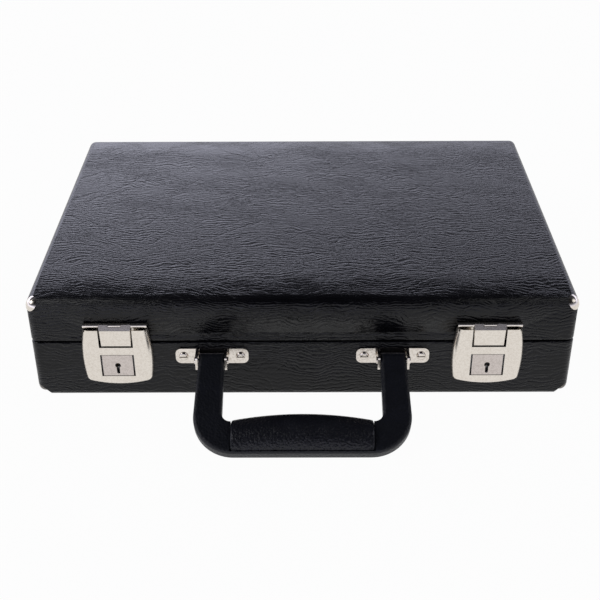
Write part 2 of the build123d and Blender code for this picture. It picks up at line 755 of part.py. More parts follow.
    with BuildPart() as hasp:
        with BuildSketch(front_side_plane(x)):
            with BuildLine():
                Polyline(
                    (hasp_axis_proud, hasp_axis_height + hasp_knuckle_radius),
                    (hasp_axis_proud + hasp_crest, hasp_axis_height + hasp_knuckle_radius - hasp_edge),
                    (lock_proud, hasp_shoulder),
                    (lock_proud, hasp_bottom),
                    (hasp_tab_inner, hasp_bottom),
                    (hasp_tab_inner, hasp_bottom + hasp_sheet),
                    (lock_proud - hasp_sheet, hasp_bottom + hasp_sheet),
                    (lock_proud - hasp_sheet, hasp_shoulder - hasp_edge),
                    (hasp_axis_proud + hasp_crest, hasp_axis_height),
                    (hasp_axis_proud, hasp_axis_height),
                    close=True,
                )
            make_face()
            with Locations((hasp_axis_proud, hasp_axis_height)):
                Circle(hasp_knuckle_radius)
        extrude(amount=hasp_half_width, both=True)
        with BuildSketch(front_side_plane(x)):
            with Locations((hasp_axis_proud, hasp_axis_height)):
                Circle(hasp_knuckle_radius + knuckle_gap)
        extrude(amount=hasp_middle_knuckle / 2 + knuckle_gap, both=True, mode=Mode.SUBTRACT)
        with BuildSketch(front_side_plane(x)):
            with Locations((hasp_axis_proud, hasp_axis_height)):
                Circle(hasp_pin_radius + fit_gap)
        extrude(amount=hasp_top_width, both=True, mode=Mode.SUBTRACT)
        with BuildSketch(front_plane(x, 0)):
            with BuildLine():
                Polyline(
                    (-hasp_half_width, hasp_axis_height),
                    (-hasp_bottom_width / 2, hasp_bottom),
                    (hasp_bottom_width / 2, hasp_bottom),
                    (hasp_half_width, hasp_axis_height),
                    (hasp_half_width, case_top),
                    (-hasp_half_width, case_top),
                    close=True,
                )
            make_face()
        extrude(amount=2 * lock_proud, mode=Mode.INTERSECT)
        with BuildSketch(Plane.XY.offset(hasp_bottom)):
            with Locations((x, front - (hasp_tab_hole_inner + hasp_tab_hole_outer) / 2)):
                Rectangle(hasp_tab_hole_width, hasp_tab_hole_outer - hasp_tab_hole_inner)
        extrude(amount=hasp_sheet, mode=Mode.SUBTRACT)
        chamfer(hasp.faces().sort_by(Axis.Y)[0].edges().sort_by(Axis.Z)[:-1], hasp_edge)
    hasp.part.label = f"hasp_{name}"
    export_step(hasp.part, f"parts/hasp_{name}.step")

with BuildPart() as hasp_pins:
    for side in sides.values():
        with BuildSketch(front_side_plane(side * lock_spread / 2)):
            with Locations((hasp_axis_proud, hasp_axis_height)):
                Circle(hasp_pin_radius)
        extrude(amount=hasp_row_width / 2, both=True)
hasp_pins.part.label = "hasp_pins"
export_step(hasp_pins.part, "parts/hasp_pins.step")

with BuildPart() as button_pins:
    for side in sides.values():
        with BuildSketch(front_side_plane(side * lock_spread / 2)):
            with Locations((button_axis_proud, button_axis_height)):
                Circle(button_pin_radius)
        extrude(amount=button_eye_half_width + button_lug_gap + button_lug_width, both=True)
button_pins.part.label = "button_pins"
export_step(button_pins.part, "parts/button_pins.step")


def drive_screws(plane_at, points, spread, seat, shank_radius, shank_length, head_radius, head_height):
    """Flat-headed screws into the front or the back at both sides, their heads on a plate."""
    for side in sides.values():
        with BuildSketch(plane_at(side * spread / 2, seat)) as heads:
            with Locations(*points):
                Circle(head_radius)
        extrude(heads.sketch, amount=head_height)
        with BuildSketch(plane_at(side * spread / 2, seat)) as shanks:
            with Locations(*points):
                Circle(shank_radius)
        extrude(shanks.sketch, amount=-(seat + shank_length))


with BuildPart() as lock_screws:
    drive_screws(front_plane, lock_screw_points, lock_spread, plate_sheet, small_screw_radius,
                 small_screw_length, small_head_radius, small_head_height)
lock_screws.part.label = "lock_screws"
export_step(lock_screws.part, "parts/lock_screws.step")

with BuildPart() as hasp_plate_screws:
    drive_screws(front_plane, hasp_screw_points, lock_spread, plate_sheet, small_screw_radius,
                 small_screw_length, small_head_radius, small_head_height)
hasp_plate_screws.part.label = "hasp_plate_screws"
export_step(hasp_plate_screws.part, "parts/hasp_plate_screws.step")

with BuildPart() as bracket_screws:
    drive_screws(front_plane, bracket_screw_points, bracket_spread, bracket_sheet, bracket_screw_radius,
                 bracket_screw_length, bracket_head_radius, bracket_head_height)
    crowns = bracket_screws.faces().filter_by(Axis.Y).group_by(Axis.Y)[0]
    fillet(crowns.edges(), bracket_head_height - fit_gap)
    for side in sides.values():
        with BuildSketch(front_plane(side * bracket_spread / 2, bracket_sheet + bracket_head_height)):
            with Locations(*bracket_screw_points):
                Rectangle(2 * bracket_head_radius, bracket_slot_width)
        extrude(amount=-bracket_slot_depth, mode=Mode.SUBTRACT)
bracket_screws.part.label = "bracket_screws"
export_step(bracket_screws.part, "parts/bracket_screws.step")

# Handle brackets: a plate with two ears for the pin
for name, side in sides.items():
    x = side * bracket_spread / 2
    with BuildPart() as bracket:
        with BuildSketch(front_plane(x, 0)):
            with Locations((0, bracket_height)):
                RectangleRounded(bracket_length, bracket_width, bracket_round)
            with Locations(*bracket_screw_points):
                Circle(bracket_screw_radius + fit_gap, mode=Mode.SUBTRACT)
        extrude(amount=bracket_sheet)
        for ear_side in (-1, 1):
            with BuildSketch(front_side_plane(x + ear_side * (ear_inner_width + ear_sheet) / 2)) as ear:
                with Locations((0, bracket_height)):
                    Rectangle(ear_proud, bracket_width, align=(Align.MIN, Align.CENTER))
                fillet(ear.vertices().sort_by(Axis.X)[-2:], ear_round)
                with Locations((handle_axis_proud, bracket_height)):
                    Circle(handle_pin_radius + fit_gap, mode=Mode.SUBTRACT)
            extrude(amount=ear_sheet / 2, both=True)
    bracket.part.label = f"handle_bracket_{name}"
    export_step(bracket.part, f"parts/handle_bracket_{name}.step")

ear_outer = ear_inner_width / 2 + ear_sheet
with BuildPart() as handle_pins:
    for side in sides.values():
        x = side * bracket_spread / 2
        with BuildSketch(front_side_plane(x)):
            with Locations((handle_axis_proud, bracket_height)):
                Circle(handle_pin_radius)
        extrude(amount=ear_outer, both=True)
        for head_side in (-1, 1):
            head_middle = ear_outer + handle_pin_head / 2
            with BuildSketch(front_side_plane(x + head_side * head_middle)):
                with Locations((handle_axis_proud, bracket_height)):
                    Circle(handle_pin_head_radius)
            extrude(amount=handle_pin_head / 2, both=True)
handle_pins.part.label = "handle_pins"
export_step(handle_pins.part, "parts/handle_pins.step")

# Handle, lying with the lower edge of its grip on the table. Its own plane has x along -X,
# y outwards along the arms and z up through the grip.
half_thickness = handle_thickness / 2
edge_reach = handle_reach - handle_edge_round
edge_depth = half_thickness - handle_edge_round
fall = bracket_height - handle_edge_round - handle_floor_gap
handle_drop = math.asin(fall / math.hypot(edge_reach, edge_depth)) - math.atan2(edge_depth, edge_reach)
outwards = (0, -math.cos(handle_drop), -math.sin(handle_drop))
upwards = (0, -math.sin(handle_drop), math.cos(handle_drop))
handle_axis = (0, front - handle_axis_proud, bracket_height)
handle_plane = Plane(origin=handle_axis, x_dir=(-1, 0, 0), z_dir=upwards)


def handle_section_plane(x):
    """Plane across the grip at one x, its x outwards along the arms and its y up through it."""
    return Plane(origin=(x, handle_axis[1], handle_axis[2]), x_dir=outwards, z_dir=(-1, 0, 0))


def handle_side():
    """Side view of the arms: round at the pin, with a heel that meets the bracket's plate."""
    plate_gap = handle_axis_proud - bracket_sheet - handle_heel_gap
    cosine, sine = math.cos(handle_drop), math.sin(handle_drop)
    heel = (-(plate_gap - half_thickness * sine) / cosine, -half_thickness)
    with BuildSketch() as side_view:
        Circle(half_thickness)
        Rectangle(2 * handle_reach, handle_thickness, align=(Align.MIN, Align.CENTER))
        with BuildLine():
            Polyline((0, 0), (0, -half_thickness), heel, (-plate_gap * cosine, -plate_gap * sine), close=True)
        make_face()
    return side_view.sketch


def handle_bow(tail, outer, inner, outer_reach, inner_reach, outer_corner, inner_corner, taper=0.0):
    """Outline of a bow in the plane of the handle, from its two tails to its outer edge."""
    with BuildSketch() as bow:
        with BuildLine():
            Polyline((-outer + taper, tail), (-outer, outer_reach), (outer, outer_reach),
                     (outer - taper, tail), close=True)
        make_face()
        fillet(bow.vertices().sort_by(Axis.Y)[-2:], outer_corner)
        with BuildSketch(mode=Mode.PRIVATE) as gap:
            with BuildLine():
                Polyline((-inner, tail - handle_thickness), (-inner, inner_reach), (inner, inner_reach),
                         (inner, tail - handle_thickness), close=True)
            make_face()
            fillet(gap.vertices().sort_by(Axis.Y)[-2:], inner_corner)
        add(gap.sketch, mode=Mode.SUBTRACT)
    return bow.sketch


core_middle = (handle_corner_outer + handle_corner_inner) / 2
core_reach = (handle_reach + grip_bar_reach) / 2


def core_bow(tail, gap):
    """Outline of the steel strip inside the handle, grown by a gap."""
    half = core_width / 2 + gap
    return handle_bow(tail, core_middle + half, core_middle - half, core_reach + half, core_reach - half,
                      handle_outer_corner - core_width / 2, handle_outer_corner - core_width)


with BuildPart() as handle_body:
    with BuildSketch(handle_plane):
        add(handle_bow(-handle_thickness, handle_corner_outer, handle_corner_inner, handle_reach,
                       handle_inner_reach, handle_outer_corner, handle_inner_corner,
                       handle_corner_outer - handle_end_outer))
    extrude(amount=half_thickness, both=True)
    broad_faces = handle_body.faces().filter_by(Axis(handle_axis, upwards))
    fillet(broad_faces.edges(), handle_edge_round)
    with BuildSketch(handle_section_plane(0)):
        add(handle_side())
    extrude(amount=case_width, both=True, mode=Mode.INTERSECT)
    with BuildSketch(handle_section_plane(0)):
        with Locations((grip_bar_reach, 0)):
            Rectangle(2 * grip_bar_reach, 4 * handle_thickness, align=(Align.MAX, Align.CENTER))
        with Locations((handle_reach - grip_rim, grip_bar_top)):
            Rectangle(2 * grip_bar_reach, 4 * handle_thickness, align=(Align.MAX, Align.MIN))
    extrude(amount=grip_half_length + grip_end_gap, both=True, mode=Mode.SUBTRACT)
    with BuildSketch(handle_plane):
        add(core_bow(0, fit_gap))
    extrude(amount=core_thickness / 2 + fit_gap, both=True, mode=Mode.SUBTRACT)
    with BuildSketch(handle_section_plane(0)):
        Circle(handle_pin_radius + fit_gap)
    extrude(amount=case_width, both=True, mode=Mode.SUBTRACT)
handle_body.part.label = "handle_body"
export_step(handle_body.part, "parts/handle_body.step")

with BuildPart() as handle_core:
    with BuildSketch(handle_plane):
        add(core_bow(core_start, 0))
    extrude(amount=core_thickness / 2, both=True)
handle_core.part.label = "handle_core"
export_step(handle_core.part, "parts/handle_core.step")


def grip_section(inner, crown):
    """Section of the soft grip: rounded on top, flat below, open for the bar of the handle."""
    outer = handle_reach - grip_rim - grip_gap
    with BuildSketch() as section:
        with BuildLine():
            Polyline((outer, grip_edge_height), (outer, -half_thickness), (inner + grip_toe, -half_thickness),
                     (inner, -half_thickness + grip_toe))
            ThreePointArc((inner, -half_thickness + grip_toe), (grip_crest_reach, crown),
                          (outer, grip_edge_height))
        make_face()
    return section.sketch


with BuildPart() as handle_grip:
    grip_profiles = [(-grip_half_length, grip_end_inner, grip_end_crown),
                     (0, grip_middle_inner, grip_middle_crown),
                     (grip_half_length, grip_end_inner, grip_end_crown)]
    for x, inner, crown in grip_profiles:
        with BuildSketch(handle_section_plane(x)):
            add(grip_section(inner, crown))
    loft()
    with BuildSketch(handle_section_plane(0)):
        with Locations((grip_bar_reach - grip_gap, grip_bar_top + grip_gap)):
            Rectangle(handle_reach, 2 * handle_thickness, align=(Align.MIN, Align.MAX))
    extrude(amount=2 * grip_half_length, both=True, mode=Mode.SUBTRACT)
handle_grip.part.label = "handle_grip"
export_step(handle_grip.part, "parts/handle_grip.step")

# Hinges: the base's leaf has the two outer knuckles, the lid's leaf the middle one
hinge_axis_proud = hinge_knuckle_radius + hinge_axis_gap


def hinge_leaf(x, plate_height, upper):
    """One leaf of a hinge: its plate on the back of the case, and its knuckles. The upper
    leaf has the middle knuckle and the lower one the two outer knuckles."""
    with BuildPart() as leaf:
        with BuildSketch(back_plane(x, 0)):
            with Locations((0, plate_height)):
                Rectangle(hinge_width, hinge_leaf_height)
            with Locations((-hinge_screw_spread / 2, plate_height), (hinge_screw_spread / 2, plate_height)):
                Circle(small_screw_radius + fit_gap, mode=Mode.SUBTRACT)
        extrude(amount=hinge_sheet)
        with BuildSketch(back_side_plane(x)):
            with Locations((hinge_axis_proud, seam)):
                Circle(hinge_knuckle_radius)
                Circle(hinge_pin_radius + fit_gap, mode=Mode.SUBTRACT)
            with Locations((0, seam)):
                Rectangle(hinge_sheet, hinge_leaf_start, align=(Align.MIN, Align.MIN if upper else Align.MAX))
        extrude(amount=hinge_width / 2, both=True)
        if upper:
            for knuckle_side in (-1, 1):
                with BuildSketch(back_side_plane(x + knuckle_side * hinge_width / 2)):
                    with Locations((hinge_axis_proud, seam)):
                        Rectangle(4 * hinge_knuckle_radius, 2 * hinge_leaf_start)
                extrude(amount=(hinge_width - hinge_middle_knuckle) / 2, both=True, mode=Mode.SUBTRACT)
        else:
            with BuildSketch(back_side_plane(x)):
                with Locations((hinge_axis_proud, seam)):
                    Rectangle(4 * hinge_knuckle_radius, 2 * hinge_leaf_start)
            extrude(amount=hinge_middle_knuckle / 2 + knuckle_gap, both=True, mode=Mode.SUBTRACT)
    return leaf.part


for name, side in sides.items():
    x = side * hinge_spread / 2
    with BuildPart() as base_leaf:
        add(hinge_leaf(x, base_hinge_screw_height, False))
    base_leaf.part.label = f"hinge_base_leaf_{name}"
    export_step(base_leaf.part, f"parts/hinge_base_leaf_{name}.step")

    with BuildPart() as lid_leaf:
        add(hinge_leaf(x, lid_hinge_screw_height, True))
    lid_leaf.part.label = f"hinge_lid_leaf_{name}"
    export_step(lid_leaf.part, f"parts/hinge_lid_leaf_{name}.step")

with BuildPart() as hinge_pins:
    for side in sides.values():
        with BuildSketch(back_side_plane(side * hinge_spread / 2)):
            with Locations((hinge_axis_proud, seam)):
                Circle(hinge_pin_radius)
        extrude(amount=hinge_width / 2, both=True)
hinge_pins.part.label = "hinge_pins"
export_step(hinge_pins.part, "parts/hinge_pins.step")

for name, height in {"base": base_hinge_screw_height, "lid": lid_hinge_screw_height}.items():
    with BuildPart() as hinge_screws:
        drive_screws(back_plane, [(sign * hinge_screw_spread / 2, height) for sign in (-1, 1)], hinge_spread,
                     hinge_sheet, small_screw_radius, small_screw_length, small_head_radius,
                     small_head_height)
    hinge_screws.part.label = f"hinge_{name}_screws"
    export_step(hinge_screws.part, f"parts/hinge_{name}_screws.step")
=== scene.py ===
"""Looks of a recorder case: grained black leatherette over boards, nickelled locks and
brackets, a moulded carrying handle, and a plush-lined inside."""

import logging
import math
from dataclasses import dataclass
from enum import Enum
from typing import Any, Optional, Sequence

import bmesh
import bpy
from mathutils import Matrix, Vector


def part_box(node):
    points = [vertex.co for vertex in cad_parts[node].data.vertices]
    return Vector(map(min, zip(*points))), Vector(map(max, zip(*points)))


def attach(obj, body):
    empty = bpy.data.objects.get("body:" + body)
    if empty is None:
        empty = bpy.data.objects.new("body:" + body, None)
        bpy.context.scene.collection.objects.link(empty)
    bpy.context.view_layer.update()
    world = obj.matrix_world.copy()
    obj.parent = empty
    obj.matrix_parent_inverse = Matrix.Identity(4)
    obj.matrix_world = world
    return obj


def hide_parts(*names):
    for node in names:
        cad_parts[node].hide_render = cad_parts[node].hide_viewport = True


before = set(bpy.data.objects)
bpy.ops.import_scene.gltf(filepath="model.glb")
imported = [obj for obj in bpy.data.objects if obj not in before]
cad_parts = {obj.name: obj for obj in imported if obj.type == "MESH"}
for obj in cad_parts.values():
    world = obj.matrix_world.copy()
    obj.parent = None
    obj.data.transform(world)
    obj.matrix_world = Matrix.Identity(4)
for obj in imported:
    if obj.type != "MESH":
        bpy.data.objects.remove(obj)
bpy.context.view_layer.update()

log = logging.getLogger("recorder_case")
MM = 0.001
MERGE_DISTANCE = 0.002 * MM
# The bands of a Wave texture stand this far apart at a scale of 1.
WAVE_PERIOD = math.pi / 10
# A Mix node's sockets share their names, so those for colour go by number.
MIX_SHARE, MIX_FIRST, MIX_SECOND, MIX_COLOUR = 0, 6, 7, 2


def linear(code: str) -> tuple[float, float, float, float]:
    """Turn an sRGB hex colour into a linear one.

    Args:
        code: the colour as six hex digits.

    Returns:
        Linear red, green and blue, and an alpha of 1.
    """
    parts = [int(code[i:i + 2], 16) / 255 for i in (0, 2, 4)]
    values = [p / 12.92 if p <= 0.04045 else ((p + 0.055) / 1.055) ** 2.4 for p in parts]
    return (values[0], values[1], values[2], 1.0)


def node(tree: bpy.types.NodeTree, kind: str, inputs: Sequence[Any] | dict[Any, Any] = (),
         out: int | str = 0, **settings: Any) -> Optional[bpy.types.NodeSocket]:
    """Add a node with its settings and links.

    Args:
        tree: the node tree it goes into.
        kind: the node's type name, without its first words.
        inputs: what its inputs get, in order, or by name or number: a value or another
            node's output.
        out: name or number of the output that is wanted.
        settings: the node's own properties.

    Returns:
        That output of the new node, or None where it has none.
    """
    added = tree.nodes.new(f"ShaderNode{kind}")
    for name, value in settings.items():
        setattr(added, name, value)
    for socket, value in (inputs.items() if isinstance(inputs, dict) else enumerate(inputs)):
        if isinstance(value, bpy.types.NodeSocket):
            tree.links.new(value, added.inputs[socket])
        else:
            added.inputs[socket].default_value = value
    return added.outputs[out] if len(added.outputs) else None


def new_material(name: str) -> tuple[bpy.types.Material, bpy.types.NodeTree, bpy.types.NodeSocket]:
    """Make an empty node material.

    Args:
        name: the material's name.

    Returns:
        The material, its node tree and its Object coordinate.
    """
    material = bpy.data.materials.new(name)
    material.use_nodes = True
    tree = material.node_tree
    tree.nodes.clear()
    return material, tree, node(tree, "TexCoord", out="Object")


def finish_material(tree: bpy.types.NodeTree, inputs: dict[str, Any]) -> None:
    """Add the surface shader and the output.

    Args:
        tree: the material's node tree.
        inputs: what each input of the shader gets.
    """
    node(tree, "OutputMaterial", [node(tree, "BsdfPrincipled", inputs)])


@dataclass(frozen=True)
class Crease:
    """One run of creases in the leatherette: the distance between them in metres, their turn
    from the case's length in degrees, the size of their patches in metres, the cloud value
    below which a patch has the fewest, how narrow they are from 1 up, and the least share."""

    period: float
    turn: float
    patch: float
    bare: float
    narrow: float
    least: float


@dataclass(frozen=True)
class Leatherette:
    """Vinyl-coated cloth, hot-embossed with a buffalo grain: long wavy wrinkles that run
    along the case, a few that cross them, and smooth patches between. It is black with a
    satin gloss that shows only where the room is bright."""

    name: str = "leatherette_buffalo_grain"
    colour: str = "09090c"
    worn_colour: str = "0e0e12"
    fine: Crease = Crease(2.4 * MM, 3.0, 34 * MM, 0.40, 2.0, 0.45)
    long: Crease = Crease(3.9 * MM, -4.0, 30 * MM, 0.43, 3.5, 0.15)
    rising: Crease = Crease(7.5 * MM, -36.0, 22 * MM, 0.48, 7.0, 0.0)
    falling: Crease = Crease(7.5 * MM, 31.0, 22 * MM, 0.48, 7.0, 0.0)
    fine_share: float = 0.95
    wave_bend: float = 8.0
    wave_bend_scale: float = 0.9
    wave_bend_roughness: float = 0.6
    patch_shape: tuple[float, float] = (0.5, 1.0)
    patch_edge: float = 0.2
    wrinkle_depth: float = 0.10 * MM
    wall_share: float = 2.6
    wall_span: tuple[float, float] = (0.3, 0.85)
    end_wall_facing: float = 0.7
    sway_length: float = 42 * MM
    sway_reach: float = 26 * MM
    pebbles_per_metre: tuple[float, float, float] = (330.0, 620.0, 1.0)
    pebble_edge: float = 0.25
    pebble_depth: float = 0.022 * MM
    pore: float = 0.5 * MM
    pore_depth: float = 0.014 * MM
    rub: float = 26 * MM
    rub_span: tuple[float, float] = (0.35, 0.75)
    roughness: float = 0.21
    valley_dulling: float = 0.1
    specular: float = 0.25

    def unfold(self, tree: bpy.types.NodeTree, place: bpy.types.NodeSocket,
               sideways: bpy.types.NodeSocket) -> bpy.types.NodeSocket:
        """Lay the covering out flat: the sheet runs over the top and down the walls.

        Args:
            tree: the material's node tree.
            place: the Object coordinate.
            sideways: how far the surface faces right, from -1 to 1.

        Returns:
            The place on the flat sheet.
        """
        apart = node(tree, "SeparateXYZ", [place]).node.outputs
        to_the_side = node(tree, "Math", [sideways], operation="ABSOLUTE")
        end_wall = node(tree, "Math", [to_the_side, self.end_wall_facing], operation="GREATER_THAN")
        long_wall = node(tree, "Math", [1.0, end_wall], operation="SUBTRACT")
        along = node(tree, "Math", [apart[2], end_wall, apart[0]], operation="MULTIPLY_ADD")
        across = node(tree, "Math", [apart[2], long_wall, apart[1]], operation="MULTIPLY_ADD")
        flat = node(tree, "CombineXYZ", [along, across, 0.0])
        sway = node(tree, "TexNoise", {"Vector": flat, "Scale": 1 / self.sway_length, "Detail": 2.5},
                    "Color")
        centred = node(tree, "VectorMath", [sway, (0.5, 0.5, 0.5)], operation="SUBTRACT")
        reach = (self.sway_reach, self.sway_reach, 0.0)
        return node(tree, "VectorMath", [centred, reach, flat], operation="MULTIPLY_ADD")

    def wrinkles(self, tree: bpy.types.NodeTree, flat: bpy.types.NodeSocket,
                 crease: Crease) -> bpy.types.NodeSocket:
        """One run of creases that comes and goes in patches.

        Args:
            tree: the material's node tree.
            flat: the place on the flat sheet.
            crease: the run's sizes.

        Returns:
            How deep the crease is, from 0 to 1.
        """
        moved = node(tree, "Mapping", {"Vector": flat, "Location": (crease.turn, crease.period / MM, 0.0),
                                       "Rotation": (0.0, 0.0, math.radians(crease.turn))})
        wave = node(tree, "TexWave",
                    {"Vector": moved, "Scale": WAVE_PERIOD / crease.period, "Distortion": self.wave_bend,
                     "Detail": 3.0, "Detail Scale": self.wave_bend_scale,
                     "Detail Roughness": self.wave_bend_roughness},
                    "Fac", wave_type="BANDS", bands_direction="Y")
        low = node(tree, "Math", [1.0, wave], operation="SUBTRACT")
        valley = node(tree, "Math", [low, crease.narrow], operation="POWER")
        along, across = self.patch_shape
        spot = node(tree, "Mapping", {"Vector": moved,
                                      "Scale": (along / crease.patch, across / crease.patch, 1.0)})
        cloud = node(tree, "TexNoise", {"Vector": spot, "Scale": 1.0, "Detail": 2.0})
        amount = node(tree, "MapRange",
                      [cloud, crease.bare, crease.bare + self.patch_edge, crease.least, 1.0],
                      interpolation_type="SMOOTHSTEP")
        return node(tree, "Math", [valley, amount], operation="MULTIPLY")

    def build(self) -> bpy.types.Material:
        """Make the material.

        Returns:
            The material.
        """
        material, tree, place = new_material(self.name)
        facing = node(tree, "SeparateXYZ", [node(tree, "TexCoord", out="Normal")]).node.outputs
        flat = self.unfold(tree, place, facing[0])
        fine, long, rising, falling = (
            self.wrinkles(tree, flat, crease) for crease in (self.fine, self.long, self.rising, self.falling))
        crossing = node(tree, "Math", [rising, falling], operation="MAXIMUM")
        strong = node(tree, "Math", [long, crossing], operation="MAXIMUM")
        embossed = node(tree, "Math", [fine, self.fine_share, strong], operation="MULTIPLY_ADD")
        upright = node(tree, "Math", [facing[2]], operation="ABSOLUTE")
        stretched = node(tree, "MapRange", [upright, *self.wall_span, self.wall_share, 1.0])
        depth = node(tree, "Math", [embossed, stretched], operation="MULTIPLY")
        cell_place = node(tree, "Mapping", {"Vector": flat, "Scale": self.pebbles_per_metre})
        cells = node(tree, "TexVoronoi", {"Vector": cell_place, "Scale": 1.0}, "Distance",
                     feature="DISTANCE_TO_EDGE")
        pebble = node(tree, "MapRange", [cells, 0.0, self.pebble_edge, 0.0, 1.0],
                      interpolation_type="SMOOTHSTEP")
        pores = node(tree, "TexNoise", {"Vector": place, "Scale": 1 / self.pore, "Detail": 2.0})
        fold = node(tree, "Bump", {"Height": depth, "Distance": self.wrinkle_depth}, invert=True)
        grain = node(tree, "Bump", {"Height": pebble, "Distance": self.pebble_depth, "Normal": fold})
        normal = node(tree, "Bump", {"Height": pores, "Distance": self.pore_depth, "Normal": grain})
        rubbing = node(tree, "TexNoise", {"Vector": flat, "Scale": 1 / self.rub, "Detail": 3.0})
        worn = node(tree, "MapRange", [rubbing, *self.rub_span, 0.0, 1.0], interpolation_type="SMOOTHSTEP")
        tone = node(tree, "Mix", {MIX_SHARE: worn, MIX_FIRST: linear(self.colour),
                                  MIX_SECOND: linear(self.worn_colour)}, MIX_COLOUR, data_type="RGBA")
        gloss = node(tree, "MapRange",
                     [embossed, 0.0, 1.0, self.roughness, self.roughness + self.valley_dulling])
        finish_material(tree, {"Base Color": tone, "Roughness": gloss, "Normal": normal,
                               "Specular IOR Level": self.specular})
        return material


class Lustre(Enum):
    """How far a plated piece is polished: its roughness and the depth of its brushing."""

    SATIN = (0.19, 0.010)
    BRIGHT = (0.12, 0.004)


@dataclass(frozen=True)
class NickelPlate:
    """Nickel plate on pressed steel: a warm white metal, fine brush lines on the satin
    pieces, and a faint speckle where fingers have worn it dull."""

    name: str
    lustre: Lustre
    colour: str
    dull_colour: str
    lines_per_metre: tuple[float, float, float] = (110.0, 2600.0, 2600.0)
    speckle: float = 1.3 * MM
    speckle_span: tuple[float, float] = (0.38, 0.72)
    gloss_span: tuple[float, float] = (0.3, 0.75)
    dulling: float = 0.1

    def build(self) -> bpy.types.Material:
        """Make the material.

        Returns:
            The material.
        """
        material, tree, place = new_material(self.name)
        roughness, brushing = self.lustre.value
        stroke = node(tree, "Mapping", {"Vector": place, "Scale": self.lines_per_metre})
        lines = node(tree, "TexNoise", {"Vector": stroke, "Scale": 1.0, "Detail": 2.0})
        speckles = node(tree, "TexNoise", {"Vector": place, "Scale": 1 / self.speckle, "Detail": 4.0})
        share = node(tree, "MapRange", [speckles, *self.speckle_span, 0.0, 1.0],
                     interpolation_type="SMOOTHSTEP")
        tone = node(tree, "Mix", {MIX_SHARE: share, MIX_FIRST: linear(self.colour),
                                  MIX_SECOND: linear(self.dull_colour)}, MIX_COLOUR, data_type="RGBA")
        finish_material(tree, {
            "Base Color": tone,
            "Metallic": 1.0,
            "Roughness": node(tree, "MapRange",
                              [speckles, *self.gloss_span, roughness, roughness + self.dulling]),
            "Normal": node(tree, "Bump", {"Height": lines, "Distance": brushing * MM})})
        return material


@dataclass(frozen=True)
class PlatedSteel:
    """Zinc-plated steel, cold grey, with a faint spangle."""

    name: str = "zinc_plated_steel"
    colour: str = "aeb0b2"
    dark_colour: str = "a0a2a5"
    spangle: float = 1.6 * MM
    spangle_span: tuple[float, float] = (0.1, 0.8)
    roughness: tuple[float, float] = (0.32, 0.42)
    skin: float = 0.5 * MM
    skin_depth: float = 0.008 * MM

    def build(self) -> bpy.types.Material:
        """Make the material.

        Returns:
            The material.
        """
        material, tree, place = new_material(self.name)
        spangles = node(tree, "TexVoronoi", {"Vector": place, "Scale": 1 / self.spangle}, "Distance")
        share = node(tree, "MapRange", [spangles, *self.spangle_span, 0.0, 1.0],
                     interpolation_type="SMOOTHSTEP")
        rough = node(tree, "TexNoise", {"Vector": place, "Scale": 1 / self.skin, "Detail": 2.0})
        tone = node(tree, "Mix", {MIX_SHARE: share, MIX_FIRST: linear(self.colour),
                                  MIX_SECOND: linear(self.dark_colour)}, MIX_COLOUR, data_type="RGBA")
        finish_material(tree, {
            "Base Color": tone,
            "Metallic": 1.0,
            "Roughness": node(tree, "MapRange", [share, 0.0, 1.0, *self.roughness]),
            "Normal": node(tree, "Bump", {"Height": rough, "Distance": self.skin_depth})})
        return material


@dataclass(frozen=True)
class TurnedBrass:
    """Brass as it comes off the lathe: yellow metal with rings round its axis."""

    name: str = "turned_brass"
    colour: str = "c8a45c"
    dark_colour: str = "9c7a3c"
    tarnish: float = 2.2 * MM
    tarnish_span: tuple[float, float] = (0.4, 0.7)
    gloss_span: tuple[float, float] = (0.3, 0.7)
    roughness: tuple[float, float] = (0.24, 0.38)
    rings_per_metre: tuple[float, float, float] = (4000.0, 400.0, 4000.0)
    ring_depth: float = 0.006 * MM

    def build(self) -> bpy.types.Material:
        """Make the material.

        Returns:
            The material.
        """
        material, tree, place = new_material(self.name)
        stain = node(tree, "TexNoise", {"Vector": place, "Scale": 1 / self.tarnish, "Detail": 3.0})
        share = node(tree, "MapRange", [stain, *self.tarnish_span, 0.0, 1.0],
                     interpolation_type="SMOOTHSTEP")
        ring = node(tree, "Mapping", {"Vector": place, "Scale": self.rings_per_metre})
        lines = node(tree, "TexNoise", {"Vector": ring, "Scale": 1.0, "Detail": 1.0})
        tone = node(tree, "Mix", {MIX_SHARE: share, MIX_FIRST: linear(self.colour),
                                  MIX_SECOND: linear(self.dark_colour)}, MIX_COLOUR, data_type="RGBA")
        finish_material(tree, {
            "Base Color": tone,
            "Metallic": 1.0,
            "Roughness": node(tree, "MapRange", [stain, *self.gloss_span, *self.roughness]),
            "Normal": node(tree, "Bump", {"Height": lines, "Distance": self.ring_depth})})
        return material


